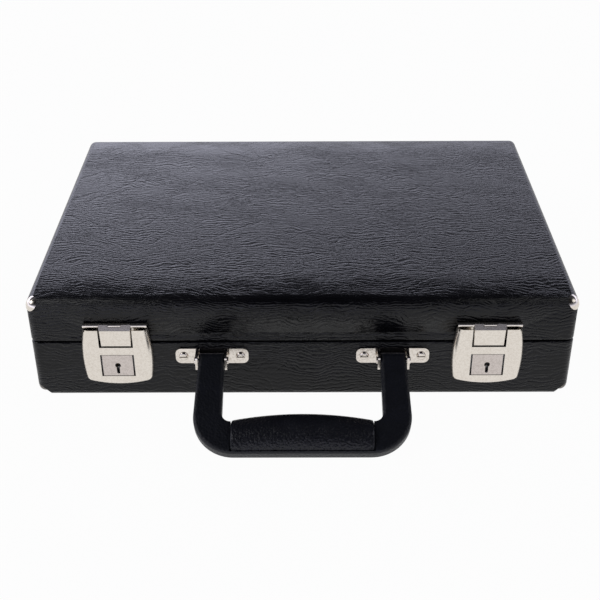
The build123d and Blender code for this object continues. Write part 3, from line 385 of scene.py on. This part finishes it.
@dataclass(frozen=True)
class BirchPly:
    """Birch plywood, sanded: pale wood with fine grain along its length."""

    name: str = "birch_plywood"
    colour: str = "cdb083"
    grain_colour: str = "a98757"
    fibres_per_metre: tuple[float, float, float] = (30.0, 900.0, 900.0)
    grain_span: tuple[float, float] = (0.4, 0.7)
    grain_strength: float = 0.6
    gloss_span: tuple[float, float] = (0.3, 0.7)
    roughness: tuple[float, float] = (0.55, 0.7)
    grain_depth: float = 0.05 * MM

    def build(self) -> bpy.types.Material:
        """Make the material.

        Returns:
            The material.
        """
        material, tree, place = new_material(self.name)
        fibre = node(tree, "Mapping", {"Vector": place, "Scale": self.fibres_per_metre})
        grain = node(tree, "TexNoise", {"Vector": fibre, "Scale": 1.0, "Detail": 4.0})
        share = node(tree, "MapRange", [grain, *self.grain_span, 0.0, self.grain_strength],
                     interpolation_type="SMOOTHSTEP")
        tone = node(tree, "Mix", {MIX_SHARE: share, MIX_FIRST: linear(self.colour),
                                  MIX_SECOND: linear(self.grain_colour)}, MIX_COLOUR, data_type="RGBA")
        finish_material(tree, {
            "Base Color": tone,
            "Roughness": node(tree, "MapRange", [grain, *self.gloss_span, *self.roughness]),
            "Normal": node(tree, "Bump", {"Height": grain, "Distance": self.grain_depth})})
        return material


@dataclass(frozen=True)
class PlushPile:
    """Rayon plush glued over foam: deep red, dark where the pile is brushed towards the
    eye and paler at the edges of a fold, with a short soft sheen."""

    name: str
    colour: str = "5a0c1a"
    brushed_colour: str = "7c1729"
    sheen: float = 0.55
    sheen_roughness: float = 0.4
    sheen_tint: str = "c9657a"
    roughness: float = 0.92
    specular: float = 0.2
    pile: float = 0.9 * MM
    pile_depth: float = 0.35 * MM
    pile_span: tuple[float, float] = (0.35, 0.7)
    pile_least: float = 0.2
    strokes_per_metre: tuple[float, float, float] = (19.0, 42.0, 42.0)
    stroke_span: tuple[float, float] = (0.35, 0.68)
    stroke_least: float = 0.25

    def build(self) -> bpy.types.Material:
        """Make the material.

        Returns:
            The material.
        """
        material, tree, place = new_material(self.name)
        tufts = node(tree, "TexNoise", {"Vector": place, "Scale": 1 / self.pile, "Detail": 3.0})
        sweep = node(tree, "Mapping", {"Vector": place, "Scale": self.strokes_per_metre})
        strokes = node(tree, "TexNoise", {"Vector": sweep, "Scale": 1.0, "Detail": 3.0})
        tufted = node(tree, "MapRange", [tufts, *self.pile_span, self.pile_least, 1.0],
                      interpolation_type="SMOOTHSTEP")
        brushed = node(tree, "MapRange", [strokes, *self.stroke_span, self.stroke_least, 1.0],
                       interpolation_type="SMOOTHSTEP")
        share = node(tree, "Math", [tufted, brushed], operation="MULTIPLY")
        tone = node(tree, "Mix", {MIX_SHARE: share, MIX_FIRST: linear(self.colour),
                                  MIX_SECOND: linear(self.brushed_colour)}, MIX_COLOUR, data_type="RGBA")
        finish_material(tree, {
            "Base Color": tone,
            "Roughness": self.roughness,
            "Sheen Weight": self.sheen,
            "Sheen Roughness": self.sheen_roughness,
            "Sheen Tint": linear(self.sheen_tint),
            "Specular IOR Level": self.specular,
            "Normal": node(tree, "Bump", {"Height": tufts, "Distance": self.pile_depth})})
        return material


@dataclass(frozen=True)
class MouldedPlastic:
    """Black moulded plastic or vinyl with a leather grain cut into its mould: small rounded
    pebbles with fine valleys, and a little unevenness where it shrank."""

    name: str
    colour: str
    rubbed_colour: str
    roughness: float
    specular: float
    pebble: float
    pebble_depth: float
    roughness_drift: float = 0.05
    gloss_span: tuple[float, float] = (0.3, 0.7)
    shrink: float = 9 * MM
    shrink_depth: float = 0.10 * MM
    shrink_span: tuple[float, float] = (0.4, 0.7)

    def build(self) -> bpy.types.Material:
        """Make the material.

        Returns:
            The material.
        """
        material, tree, place = new_material(self.name)
        cells = node(tree, "TexVoronoi", {"Vector": place, "Scale": 1 / self.pebble}, "Distance",
                     feature="SMOOTH_F1")
        hollows = node(tree, "TexNoise", {"Vector": place, "Scale": 1 / self.shrink, "Detail": 2.0})
        skin = node(tree, "TexNoise", {"Vector": place, "Scale": 2 / self.pebble, "Detail": 2.0})
        uneven = node(tree, "Bump", {"Height": hollows, "Distance": self.shrink_depth})
        grained = node(tree, "Bump", {"Height": cells, "Distance": self.pebble_depth, "Normal": uneven},
                       invert=True)
        share = node(tree, "MapRange", [hollows, *self.shrink_span, 0.0, 1.0],
                     interpolation_type="SMOOTHSTEP")
        tone = node(tree, "Mix", {MIX_SHARE: share, MIX_FIRST: linear(self.colour),
                                  MIX_SECOND: linear(self.rubbed_colour)}, MIX_COLOUR, data_type="RGBA")
        gloss = node(tree, "MapRange", [skin, *self.gloss_span, self.roughness - self.roughness_drift,
                                        self.roughness + self.roughness_drift])
        finish_material(tree, {
            "Base Color": tone,
            "Roughness": gloss,
            "Specular IOR Level": self.specular,
            "Normal": node(tree, "Bump", {"Height": skin, "Distance": self.pebble_depth / 3,
                                          "Normal": grained})})
        return material


def paint(material: bpy.types.Material, *nodes: str) -> None:
    """Give CAD nodes a material.

    Args:
        material: the material.
        nodes: the nodes' names.
    """
    for name in nodes:
        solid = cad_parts[name]
        if not solid.material_slots:
            solid.data.materials.append(material)
        for place in solid.material_slots:
            place.material = material
        log.info("dressed %s in %s", name, material.name)


def select_only(piece: bpy.types.Object) -> None:
    """Leave one object selected and active.

    Args:
        piece: the object.
    """
    bpy.ops.object.select_all(action="DESELECT")
    piece.select_set(True)
    bpy.context.view_layer.objects.active = piece


def apply_modifier(piece: bpy.types.Object, kind: str, **settings: Any) -> None:
    """Add a modifier and apply it.

    Args:
        piece: the object.
        kind: the modifier's type.
        settings: its properties.
    """
    select_only(piece)
    modifier = piece.modifiers.new(kind.lower(), kind)
    for name, value in settings.items():
        setattr(modifier, name, value)
    bpy.ops.object.modifier_apply(modifier=modifier.name)


def copy_of_node(name: str, piece_name: str) -> bpy.types.Object:
    """Copy a CAD node's shape into a piece of its own, with its corners joined.

    Args:
        name: the node's name.
        piece_name: the new piece's name.

    Returns:
        The new piece.
    """
    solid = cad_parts[name]
    mesh = solid.data.copy()
    mesh.materials.clear()
    shape = bmesh.new()
    shape.from_mesh(mesh)
    bmesh.ops.transform(shape, matrix=solid.matrix_world, verts=shape.verts)
    bmesh.ops.remove_doubles(shape, verts=shape.verts, dist=MERGE_DISTANCE)
    shape.to_mesh(mesh)
    shape.free()
    piece = bpy.data.objects.new(piece_name, mesh)
    bpy.context.scene.collection.objects.link(piece)
    return piece


def soften(piece: bpy.types.Object, voxel: float, rounds: int) -> None:
    """Turn a hard solid into a padded form: an even mesh whose edges are rubbed round.

    Args:
        piece: the piece.
        voxel: size of its faces in metres.
        rounds: how often it is smoothed.
    """
    apply_modifier(piece, "REMESH", mode="VOXEL", voxel_size=voxel)
    apply_modifier(piece, "SMOOTH", factor=0.5, iterations=rounds)


def hand_over(piece: bpy.types.Object, material: bpy.types.Material, body: str, slot: str,
              *nodes: str) -> None:
    """Dress a finished piece and say what it rides on and stands for.

    Args:
        piece: the piece.
        material: its material.
        body: the body that it moves with.
        slot: not used.
        nodes: the CAD nodes that it stands for.
    """
    piece.data.materials.clear()
    piece.data.materials.append(material)
    piece.data.shade_smooth()
    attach(piece, body)
    if nodes:
        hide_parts(*nodes)
    log.info("built %s on %s with %d faces", piece.name, body, len(piece.data.polygons))


@dataclass
class Shell:
    """The boards of the base and the lid, the leatherette over them and the corner studs."""

    leatherette: bpy.types.Material
    plywood: bpy.types.Material
    nickel: bpy.types.Material
    # painted shade: the lid studs' nickel made far darker, for the studs that face down to the floor
    painted_shade_nickel: bpy.types.Material
    crown_height: float = 1.6 * MM
    crown_reach: float = 29 * MM
    crown_cuts: int = 8
    edge_roll: float = 4.5 * MM
    top_depth: float = 2.5 * MM
    smooth_angle: float = math.radians(35)

    def build_lid_covering(self) -> None:
        """Replace the lid's flat covering with one that crowns over its padding: it rises in
        a shallow roll from the front and back edges."""
        cover = copy_of_node("lid_covering", "lid_covering_crowned")
        low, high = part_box("lid_covering")
        select_only(cover)
        bpy.ops.object.mode_set(mode="EDIT")
        for step in range(self.crown_cuts + 1):
            inset = self.edge_roll + self.crown_reach * step / self.crown_cuts
            for y in (low[1] + inset, high[1] - inset):
                bpy.ops.mesh.select_all(action="SELECT")
                bpy.ops.mesh.bisect(plane_co=(0.0, y, 0.0), plane_no=(0.0, 1.0, 0.0))
        bpy.ops.object.mode_set(mode="OBJECT")
        for vertex in cover.data.vertices:
            x, y, z = vertex.co
            inset = min(y - low[1], high[1] - y) - self.edge_roll
            side = min(x - low[0], high[0] - x)
            if z < high[2] - self.top_depth or inset <= 0 or side < self.edge_roll:
                continue
            left_to_rise = max(0.0, 1 - inset / self.crown_reach)
            vertex.co.z += self.crown_height * (1 - left_to_rise ** 2)
        hand_over(cover, self.leatherette, "lid", "leatherette", "lid_covering")
        bpy.ops.object.shade_smooth_by_angle(angle=self.smooth_angle)

    def dress(self) -> None:
        """Dress the boards, the coverings and the studs."""
        paint(self.leatherette, "base_covering", "underside_sheet")
        boards = [f"{half}_{side}_board" for half in ("base", "lid")
                  for side in ("front", "back", "left", "right")]
        paint(self.plywood, "base_bottom_panel", "lid_top_panel", *boards)
        paint(self.nickel, "lid_corner_studs")
        # The base's corner studs are the same nickel as the lid's, painted far darker: painted shade where
        # they face down to the floor.
        paint(self.painted_shade_nickel, "base_corner_studs")


@dataclass
class Interior:
    """The plush beds with their wells, the collar round them and the pad in the lid."""

    plush: bpy.types.Material
    lining: bpy.types.Material
    bed_voxel: float = 2.6 * MM
    bed_rounds: int = 4
    bed_fill: float = 0.9
    pad_voxel: float = 3.0 * MM
    pad_rounds: int = 3
    pad_fill: float = 0.8
    quilt_pitch: float = 42 * MM
    quilt_depth: float = 3.4 * MM
    quilt_groove: float = 5.5 * MM

    def build_beds(self) -> None:
        """Replace each foam bed with a plush-covered one."""
        for name in ("alto_head_bed", "alto_body_bed", "soprano_body_bed", "soprano_head_bed",
                     "cleaning_rod_bed"):
            bed = copy_of_node(name, f"{name}_plush")
            soften(bed, self.bed_voxel, self.bed_rounds)
            hand_over(bed, self.plush, "base", "plush", name)

    def build_pad(self) -> None:
        """Replace the lid's pad with a quilted one, its channels drawn in on the bias."""
        pad = copy_of_node("lid_pad", "lid_pad_quilted")
        soften(pad, self.pad_voxel, self.pad_rounds)
        low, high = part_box("lid_pad")
        for vertex in pad.data.vertices:
            x, y, z = vertex.co
            inset = min(x - low[0], high[0] - x, y - low[1], high[1] - y)
            if inset < self.quilt_groove:
                continue
            share = max(0.0, min(1.0, (high[2] - z) / (high[2] - low[2])))
            away = self.quilt_groove
            for across in ((x + y) / math.sqrt(2), (x - y) / math.sqrt(2)):
                phase = across / self.quilt_pitch
                away = min(away, abs(phase - round(phase)) * self.quilt_pitch)
            vertex.co.z += share * self.quilt_depth * (1 - away / self.quilt_groove) ** 2
        hand_over(pad, self.plush, "lid", "lining", "lid_pad")

    def dress(self) -> None:
        """Dress the collar."""
        paint(self.lining, "collar")


@dataclass
class Locks:
    """The two locks on the base with their hasps on the lid."""

    satin: bpy.types.Material
    button: bpy.types.Material
    steel: bpy.types.Material
    brass: bpy.types.Material

    def dress(self) -> None:
        """Dress each lock from its body to its tumbler."""
        for side in ("left", "right"):
            paint(self.satin, f"lock_body_{side}", f"hasp_{side}", f"hasp_plate_{side}")
            paint(self.button, f"release_button_{side}")
            paint(self.steel, f"lock_plate_{side}", f"catch_{side}", f"catch_spring_{side}")
            paint(self.brass, f"key_tumbler_{side}")
        paint(self.satin, "hasp_pins")
        paint(self.steel, "button_pins", "lock_screws", "hasp_plate_screws")


@dataclass
class Handle:
    """The folding handle: its moulded bow, soft grip, steel core, brackets and pins."""

    plastic: bpy.types.Material
    vinyl: bpy.types.Material
    steel: bpy.types.Material
    nickel: bpy.types.Material
    grip_voxel: float = 0.9 * MM
    grip_rounds: int = 5
    grip_fill: float = 1.0

    def build_grip(self) -> None:
        """Replace the solid grip with a soft rounded one."""
        grip = copy_of_node("handle_grip", "handle_grip_soft")
        soften(grip, self.grip_voxel, self.grip_rounds)
        hand_over(grip, self.vinyl, "handle", "grip_vinyl", "handle_grip")

    def dress(self) -> None:
        """Dress the bow, its core and what holds it."""
        paint(self.plastic, "handle_body")
        paint(self.steel, "handle_core")
        paint(self.nickel, "handle_bracket_left", "handle_bracket_right", "bracket_screws", "handle_pins")


@dataclass
class Hinges:
    """The two hinges on the back."""

    steel: bpy.types.Material

    def dress(self) -> None:
        """Dress the leaves, the pins and the screws."""
        leaves = [f"hinge_{half}_leaf_{side}" for half in ("base", "lid") for side in ("left", "right")]
        paint(self.steel, "hinge_pins", "hinge_base_screws", "hinge_lid_screws", *leaves)


@dataclass(frozen=True)
class SoftBox:
    """A lamp: its name, its place and its size in metres, and its power in watts."""

    name: str
    place: tuple[float, float, float]
    size: tuple[float, float]
    power: float


@dataclass
class Studio:
    """A pale floor, a soft room and the camera. The room's brightness is given by height,
    from 0 level with the case to 1 overhead."""

    focal_pixels: float = 1082.0
    frame_pixels: float = 600.0
    sensor: float = 36.0
    place: tuple[float, float, float] = (1.7 * MM, -711.5 * MM, 435.9 * MM)
    pitch: float = math.radians(31.75)
    yaw: float = math.radians(0.30)
    roll: float = math.radians(0.31)
    wall: tuple[tuple[float, float], ...] = ((0.0, 0.9), (0.24, 1.4), (0.34, 3.1), (0.39, 2.9), (0.45, 0.9),
                                             (0.50, 0.08), (1.0, 0.05))
    wall_left: float = 1.32
    wall_right: float = 0.80
    wall_front_low: float = 1.25
    wall_front_high: float = 0.08
    front_span: tuple[float, float] = (0.14, 0.28)
    side_span: tuple[float, float] = (-0.2, 0.2)
    depth_span: tuple[float, float] = (-0.3, 0.3)
    tint: tuple[float, float, float, float] = (0.93, 0.94, 1.12, 1.0)
    floor_white: float = 0.97
    floor_grey: float = 0.82
    floor_size: float = 12.0
    aim: tuple[float, float, float] = (0.0, 0.0, 0.03)
    lamps: tuple[SoftBox, ...] = (SoftBox("soft_box_left", (-1.6, -0.6, 1.5), (1.2, 1.0), 9.0),
                                  SoftBox("soft_box_right", (1.6, -0.6, 1.5), (1.2, 1.0), 5.0))

    def add_camera(self) -> None:
        """Add the camera where the photograph was taken from."""
        data = bpy.data.cameras.new("camera")
        data.sensor_width = self.sensor
        data.lens = self.sensor * self.focal_pixels / self.frame_pixels
        camera = bpy.data.objects.new("camera", data)
        ahead = Vector((-math.sin(self.yaw) * math.cos(self.pitch),
                        math.cos(self.yaw) * math.cos(self.pitch), -math.sin(self.pitch)))
        level = Vector((math.cos(self.yaw), math.sin(self.yaw), 0.0))
        upright = level.cross(ahead)
        right = level * math.cos(self.roll) - upright * math.sin(self.roll)
        up = level * math.sin(self.roll) + upright * math.cos(self.roll)
        turned = Matrix((right, up, -ahead)).transposed().to_4x4()
        camera.matrix_world = Matrix.Translation(self.place) @ turned
        bpy.context.scene.collection.objects.link(camera)
        bpy.context.scene.camera = camera

    def add_floor(self) -> None:
        """Add the floor: white to the camera and in the metal, grey to the rest, so that it keeps
        a trace of the case's shadow."""
        bpy.ops.object.select_all(action="DESELECT")
        bpy.ops.mesh.primitive_plane_add(size=self.floor_size)
        floor = bpy.context.object
        floor.name = "floor"
        material = bpy.data.materials.new("white_floor")
        material.use_nodes = True
        tree = material.node_tree
        tree.nodes.clear()
        matt = node(tree, "BsdfDiffuse", {"Color": (*[self.floor_grey] * 3, 1.0)})
        white = node(tree, "Emission", {"Color": (1.0, 1.0, 1.0, 1.0), "Strength": 1.0})
        rays = node(tree, "LightPath").node.outputs
        mirrored = node(tree, "Math", [rays["Is Glossy Ray"], rays["Is Transmission Ray"]],
                        operation="MAXIMUM")
        seen = node(tree, "Math", [rays["Is Camera Ray"], mirrored], operation="MAXIMUM")
        share = node(tree, "Math", [seen, self.floor_white], operation="MULTIPLY")
        node(tree, "OutputMaterial", [node(tree, "MixShader", [share, matt, white])])
        floor.data.materials.append(material)

    def add_room(self) -> None:
        """Light the case from a room with a bright band round its walls, dim overhead, and dark
        ahead of the case above table height. The camera sees it white."""
        world = bpy.data.worlds.new("room")
        world.use_nodes = True
        tree = world.node_tree
        tree.nodes.clear()
        direction = node(tree, "SeparateXYZ", [node(tree, "TexCoord", out="Generated")]).node.outputs
        level: float | bpy.types.NodeSocket = self.wall[0][1]
        for (low, _), (high, brightness) in zip(self.wall, self.wall[1:]):
            level = node(tree, "MapRange", [direction["Z"], low, high, level, brightness])
        side = node(tree, "MapRange", [direction["X"], *self.side_span, self.wall_left, self.wall_right],
                    interpolation_type="SMOOTHSTEP")
        front = node(tree, "MapRange",
                     [direction["Z"], *self.front_span, self.wall_front_low, self.wall_front_high])
        depth = node(tree, "MapRange", [direction["Y"], *self.depth_span, front, 1.0],
                     interpolation_type="SMOOTHSTEP")
        sided = node(tree, "Math", [level, side], operation="MULTIPLY")
        strength = node(tree, "Math", [sided, depth], operation="MULTIPLY")
        room = node(tree, "Background", {"Color": self.tint, "Strength": strength})
        white = node(tree, "Background", {"Color": (1.0, 1.0, 1.0, 1.0)})
        shown = node(tree, "MixShader", [node(tree, "LightPath", out="Is Camera Ray"), room, white])
        node(tree, "OutputWorld", [shown])
        bpy.context.scene.world = world

    def add_lamp(self, box: SoftBox) -> None:
        """Add a soft box that faces the case.

        Args:
            box: the lamp's place, size and power.
        """
        data = bpy.data.lights.new(box.name, "AREA")
        data.shape = "RECTANGLE"
        data.size, data.size_y = box.size
        data.energy = box.power
        lamp = bpy.data.objects.new(box.name, data)
        lamp.location = box.place
        beam = Vector(self.aim) - Vector(box.place)
        lamp.rotation_euler = beam.to_track_quat("-Z", "Y").to_euler()
        bpy.context.scene.collection.objects.link(lamp)

    def build(self) -> None:
        """Add the camera, the floor, the room and the lamps."""
        self.add_camera()
        self.add_floor()
        self.add_room()
        for box in self.lamps:
            self.add_lamp(box)
        bpy.context.scene.view_settings.view_transform = "Standard"


def main() -> None:
    """Build and dress the case, and set up the studio."""
    logging.basicConfig(level=logging.INFO, format="%(message)s")
    leatherette = Leatherette().build()
    satin = NickelPlate("nickel_plate_satin", Lustre.SATIN, "dfd8cf", "d5cdc3").build()
    button = NickelPlate("nickel_plate_button", Lustre.SATIN, "c9c0bb", "b9b0ab").build()
    bright = NickelPlate("nickel_plate_bright", Lustre.BRIGHT, "dcd5cd", "c9c1b8").build()
    # A far darker copy of the satin nickel for the base's corner studs: painted shade where they face down to
    # the floor.
    shaded_stud_nickel = NickelPlate("nickel_plate_painted_shade", Lustre.SATIN, "77736f", "4d4a47").build()
    steel = PlatedSteel().build()
    shell = Shell(leatherette, BirchPly().build(), satin, shaded_stud_nickel)
    shell.build_lid_covering()
    shell.dress()
    plush = PlushPile("rayon_plush").build()
    inside = Interior(plush, PlushPile("velveteen_lining", sheen=0.4, pile=0.6 * MM).build())
    inside.build_beds()
    inside.build_pad()
    inside.dress()
    Locks(satin, button, steel, TurnedBrass().build()).dress()
    moulded = MouldedPlastic("moulded_abs_black", "13151b", "16181f", roughness=0.44, specular=0.26,
                             pebble=1.4 * MM, pebble_depth=0.30 * MM).build()
    vinyl = MouldedPlastic("soft_vinyl_black", "15161c", "1a1b21", roughness=0.34, specular=0.30,
                           pebble=1.3 * MM, pebble_depth=0.50 * MM).build()
    handle = Handle(moulded, vinyl, steel, bright)
    handle.build_grip()
    handle.dress()
    Hinges(steel).dress()
    Studio().build()


if __name__ == "__main__":
    main()
